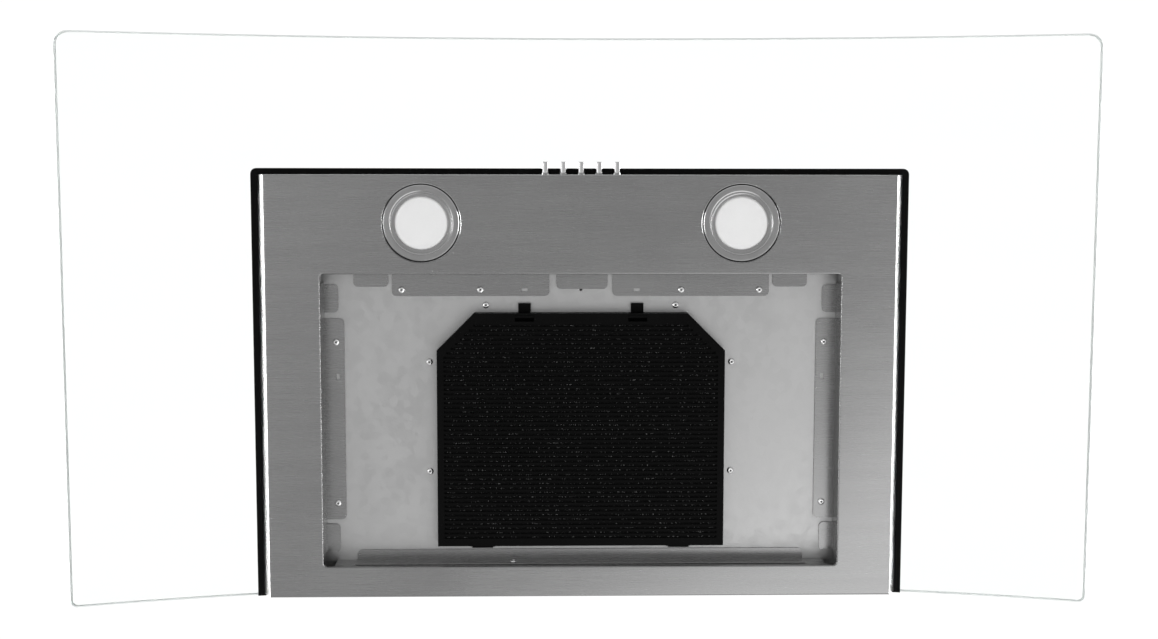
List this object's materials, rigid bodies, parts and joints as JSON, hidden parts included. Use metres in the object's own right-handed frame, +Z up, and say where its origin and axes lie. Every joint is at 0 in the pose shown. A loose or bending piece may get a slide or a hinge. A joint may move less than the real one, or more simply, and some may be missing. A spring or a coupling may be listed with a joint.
{
  "type": "range hood",
  "caption": "Wall-mounted range hood: brushed steel body under a wide arched glass canopy, with lamps, push buttons, a black charcoal filter, a blower and a telescopic chimney.",
  "frame": {"origin": "middle of the wall hanger's rear face, on the wall", "axes": "+Z up, +Y into the wall, +X to the right seen from the cook's side"},
  "size_m": [0.9, 0.502, 0.5157],
  "materials": {
    "stainless_body": "fine brushing along the width, satin",
    "stainless_chimney": "fine vertical brushing, satin",
    "galvanised_steel": "galvanised sheet, pale grey with a faint mottle",
    "chrome_trim": "polished chrome",
    "bright_steel": "bright zinc-plated steel",
    "rivet_aluminium": "bright aluminium",
    "lamp_aluminium": "spun aluminium",
    "cast_aluminium": "satin aluminium",
    "canopy_glass": "clear tempered glass with polished edges",
    "lamp_lens": "frosted white",
    "gasket_rubber": "matte black rubber",
    "filter_plastic": "matte black plastic",
    "black_plastic": "matte black plastic",
    "grey_plastic": "mid-grey plastic",
    "charcoal": "black granules"
  },
  "bodies": {
    "hood": {"blower_box": "galvanised_steel", "blower_rivet_1": "rivet_aluminium", "blower_rivet_2": "rivet_aluminium", "blower_rivet_3": "rivet_aluminium", "blower_rivet_4": "rivet_aluminium", "blower_rivet_5": "rivet_aluminium", "blower_rivet_6": "rivet_aluminium", "blower_scroll": "galvanised_steel", "body_cover": "galvanised_steel", "body_pan": "stainless_body", "cable_gland": "black_plastic", "capacitor": "cast_aluminium", "chimney_lower": "stainless_chimney", "damper_pin_left": "bright_steel", "damper_pin_right": "bright_steel", "glass_canopy": "canopy_glass", "glass_clamp": "galvanised_steel", "glass_gasket": "gasket_rubber", "inner_plate": "galvanised_steel", "junction_box": "grey_plastic", "junction_cover": "grey_plastic", "lamp_bezel_left": "chrome_trim", "lamp_bezel_right": "chrome_trim", "lamp_can_left": "lamp_aluminium", "lamp_can_right": "lamp_aluminium", "lamp_lens_left": "lamp_lens", "lamp_lens_right": "lamp_lens", "motor": "cast_aluminium", "motor_bracket": "galvanised_steel", "outlet_collar": "galvanised_steel", "rail_rivet": "rivet_aluminium", "rear_rail": "stainless_body", "switch_block": "black_plastic", "tab_rivet_1": "rivet_aluminium", "tab_rivet_2": "rivet_aluminium", "tab_rivet_3": "rivet_aluminium", "tab_rivet_4": "rivet_aluminium", "tab_rivet_5": "rivet_aluminium", "tab_rivet_6": "rivet_aluminium", "tab_rivet_7": "rivet_aluminium", "tab_rivet_8": "rivet_aluminium", "wall_hanger": "galvanised_steel"},
    "upper_chimney": {"chimney_upper": "stainless_chimney", "chimney_bracket": "galvanised_steel", "chimney_screw_left": "bright_steel", "chimney_screw_right": "bright_steel"},
    "charcoal_filter": {"filter_frame": "filter_plastic", "filter_back": "filter_plastic", "carbon_pad": "charcoal"},
    "latch_left": {"filter_latch_left": "filter_plastic"},
    "latch_right": {"filter_latch_right": "filter_plastic"},
    "wheel": {"blower_wheel": "cast_aluminium", "motor_shaft": "bright_steel"},
    "flap_left": {"damper_flap_left": "cast_aluminium"},
    "flap_right": {"damper_flap_right": "cast_aluminium"},
    "button_off": {"button_off": "chrome_trim"},
    "button_low": {"button_low": "chrome_trim"},
    "button_medium": {"button_medium": "chrome_trim"},
    "button_high": {"button_high": "chrome_trim"},
    "button_light": {"button_light": "chrome_trim"}
  },
  "joints": [
    {"name": "press_off", "type": "slide", "parent": "hood", "child": "button_off", "axis": [0, 1, 0], "range_m": [0, 0.003], "stiffness_N_per_m": 250, "springref_m": -0.0005},
    {"name": "press_low", "type": "slide", "parent": "hood", "child": "button_low", "axis": [0, 1, 0], "range_m": [0, 0.003], "stiffness_N_per_m": 250, "springref_m": -0.0005},
    {"name": "press_medium", "type": "slide", "parent": "hood", "child": "button_medium", "axis": [0, 1, 0], "range_m": [0, 0.003], "stiffness_N_per_m": 250, "springref_m": -0.0005},
    {"name": "press_high", "type": "slide", "parent": "hood", "child": "button_high", "axis": [0, 1, 0], "range_m": [0, 0.003], "stiffness_N_per_m": 250, "springref_m": -0.0005},
    {"name": "press_light", "type": "slide", "parent": "hood", "child": "button_light", "axis": [0, 1, 0], "range_m": [0, 0.003], "stiffness_N_per_m": 250, "springref_m": -0.0005},
    {"name": "filter_drop", "type": "hinge", "parent": "hood", "child": "charcoal_filter", "pos_m": [0, -0.04205, -0.1608], "axis": [1, 0, 0], "range_deg": [0, 35]},
    {"name": "latch_left_slide", "type": "slide", "parent": "charcoal_filter", "child": "latch_left", "axis": [0, 1, 0], "range_m": [0, 0.003], "stiffness_N_per_m": 250, "springref_m": -0.0005},
    {"name": "latch_right_slide", "type": "slide", "parent": "charcoal_filter", "child": "latch_right", "axis": [0, 1, 0], "range_m": [0, 0.003], "stiffness_N_per_m": 250, "springref_m": -0.0005},
    {"name": "wheel_spin", "type": "hinge", "parent": "hood", "child": "wheel", "pos_m": [0, -0.145, -0.051], "axis": [1, 0, 0], "continuous": true},
    {"name": "flap_left_swing", "type": "hinge", "parent": "hood", "child": "flap_left", "pos_m": [-0.00355, -0.17011, 0.0656], "axis": [0, 1, 0], "range_deg": [0, 75]},
    {"name": "flap_right_swing", "type": "hinge", "parent": "hood", "child": "flap_right", "pos_m": [0.00355, -0.17011, 0.0656], "axis": [0, -1, 0], "range_deg": [0, 75]},
    {"name": "chimney_extend", "type": "slide", "parent": "hood", "child": "upper_chimney", "axis": [0, 0, 1], "range_m": [0, 0.3]}
  ]
}
